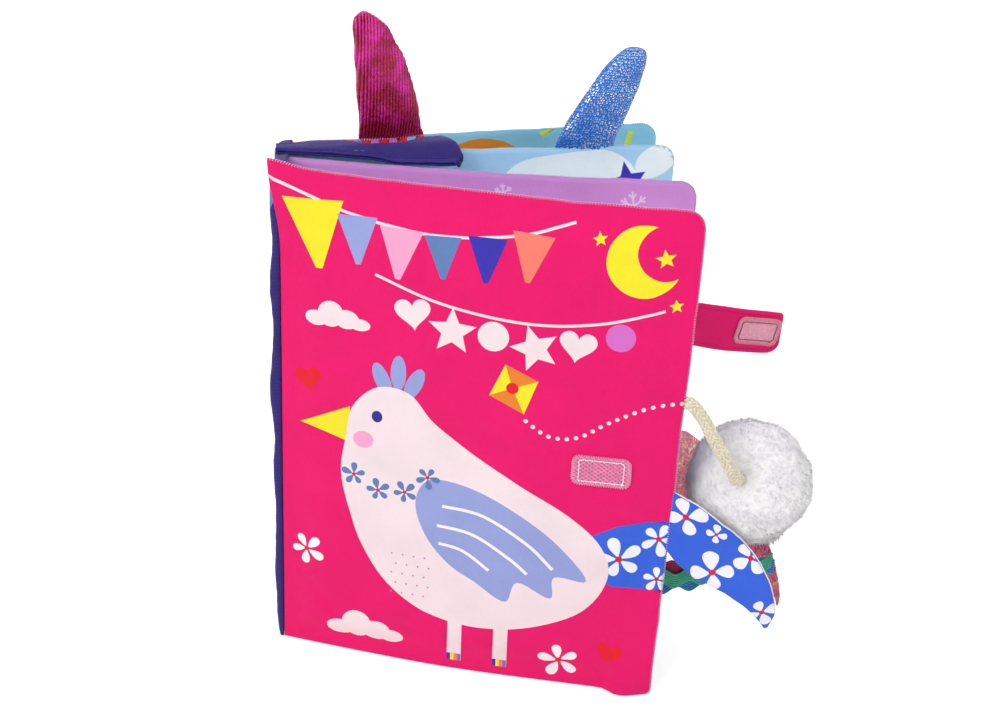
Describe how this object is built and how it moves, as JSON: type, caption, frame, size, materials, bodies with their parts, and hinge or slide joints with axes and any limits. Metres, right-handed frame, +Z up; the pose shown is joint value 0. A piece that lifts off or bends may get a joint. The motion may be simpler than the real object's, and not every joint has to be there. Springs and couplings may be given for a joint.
{
  "type": "baby soft book",
  "caption": "Padded cloth book that stands open like a fan, with turning leaves, a closing strap, a carry loop, stuffed horns, a plush ball on a cord and cloth tails to pull.",
  "frame": {"origin": "on the floor, on the foot of the cloth spine, where the leaves are sewn in", "axes": "+Z up along the spine, +X along the middle of the fanned sheets away from the spine, -Y towards the reader and the front cover"},
  "size_m": [0.2497, 0.1551, 0.2843],
  "materials": {
    "pink_cloth": "satin printed polyester",
    "lining_cloth": "printed polyester",
    "lilac_cloth": "satin printed polyester",
    "page_cloth": "satin printed polyester",
    "pale_blue_cloth": "satin printed polyester",
    "sky_cloth": "satin printed polyester",
    "navy_cloth": "twill weave",
    "wadding": "loose polyester fibre",
    "crinkle_film": "thin crackling film",
    "loop_tape": "soft loop tape",
    "hook_tape": "fine hook tape",
    "magenta_foil": "ribbed metallic foil cloth",
    "blue_foil": "cloth with small foil dots",
    "plush": "short white plush",
    "braided_cord": "braided cotton",
    "flowered_cloth": "printed polyester",
    "white_backing": "plain polyester",
    "glitter_mesh": "metallic net over cloth",
    "ribbon_green": "woven wavy ribbon",
    "ribbon_blue": "woven wavy ribbon",
    "ribbon_red": "woven wavy ribbon"
  },
  "bodies": {
    "back_cover": {"back_cover_lining": "sky_cloth", "back_cover_outer": "pink_cloth", "back_cover_wadding": "wadding"},
    "leaf_2": {"leaf_2_front": "pale_blue_cloth", "leaf_2_back": "page_cloth", "leaf_2_wadding": "wadding", "leaf_2_crinkle_film": "crinkle_film", "spine_back_half": "navy_cloth"},
    "leaf_1": {"leaf_1_front": "lilac_cloth", "leaf_1_back": "page_cloth", "leaf_1_wadding": "wadding", "leaf_1_crinkle_film": "crinkle_film", "spine_front_half": "navy_cloth"},
    "front_cover": {"front_cover_outer": "pink_cloth", "front_cover_lining": "lining_cloth", "front_cover_wadding": "wadding", "loop_patch": "loop_tape"},
    "strap": {"closing_strap": "pink_cloth", "hook_patch": "hook_tape"},
    "loop": {"carry_loop": "navy_cloth"},
    "magenta_horn": {"magenta_horn_cover": "magenta_foil", "magenta_horn_stuffing": "wadding"},
    "blue_horn": {"blue_horn_cover": "blue_foil", "blue_horn_stuffing": "wadding"},
    "pompom": {"pompom_cover": "plush", "pompom_stuffing": "wadding", "pompom_cord": "braided_cord"},
    "floral_tail": {"floral_tail_front": "flowered_cloth", "floral_tail_backing": "white_backing"},
    "glitter": {"glitter_tail": "glitter_mesh"},
    "ribbons": {"ribbon_green": "ribbon_green", "ribbon_blue": "ribbon_blue", "ribbon_red": "ribbon_red"}
  },
  "joints": [
    {"name": "turn_leaf_2", "type": "hinge", "parent": "back_cover", "child": "leaf_2", "pos_m": [0, 0.015, 0], "axis": [0, 0, -1], "range_deg": [-5, 150]},
    {"name": "turn_leaf_1", "type": "hinge", "parent": "leaf_2", "child": "leaf_1", "pos_m": [-0.0008, -0.001, 0], "axis": [0, 0, 1], "range_deg": [-140, 12]},
    {"name": "open_cover", "type": "hinge", "parent": "leaf_1", "child": "front_cover", "pos_m": [0, -0.015, 0], "axis": [0, 0, -1], "range_deg": [-5, 150]},
    {"name": "fold_strap", "type": "hinge", "parent": "back_cover", "child": "strap", "pos_m": [0.16979, 0.05931, 0.132], "axis": [0, 0, 1], "range_deg": [-75, 90]},
    {"name": "lift_loop", "type": "hinge", "parent": "leaf_2", "child": "loop", "pos_m": [-0.0017, 0.00098, 0.23025], "axis": [0.0802, -0.9968, 0], "range_deg": [0, 125]},
    {"name": "flop_magenta_horn", "type": "hinge", "parent": "back_cover", "child": "magenta_horn", "pos_m": [0.046, 0.0283, 0.2326], "axis": [0.9673, 0.2538, 0], "range_deg": [-60, 20], "stiffness_Nm_per_rad": 0.02},
    {"name": "flop_blue_horn", "type": "hinge", "parent": "leaf_2", "child": "blue_horn", "pos_m": [0.1297, 0.02228, 0.2326], "axis": [0.988, 0.1547, 0], "range_deg": [-60, 60], "stiffness_Nm_per_rad": 0.015},
    {"name": "swing_pompom", "type": "hinge", "parent": "front_cover", "child": "pompom", "pos_m": [0.16756, -0.05872, 0.1475], "axis": [0, 0, 1], "range_deg": [0, 15]},
    {"name": "fold_floral_tail", "type": "hinge", "parent": "front_cover", "child": "floral_tail", "pos_m": [0.16843, -0.05895, 0.09], "axis": [0, 0, 1], "range_deg": [-80, 0], "stiffness_Nm_per_rad": 0.002},
    {"name": "fold_glitter_tail", "type": "hinge", "parent": "leaf_1", "child": "glitter", "pos_m": [0.17285, -0.02116, 0.096], "axis": [0, 0, 1], "range_deg": [0, 30], "stiffness_Nm_per_rad": 0.002},
    {"name": "fold_ribbons", "type": "hinge", "parent": "leaf_1", "child": "ribbons", "pos_m": [0.17464, -0.02134, 0.037], "axis": [0, 0, 1], "range_deg": [-30, 30], "stiffness_Nm_per_rad": 0.002}
  ]
}
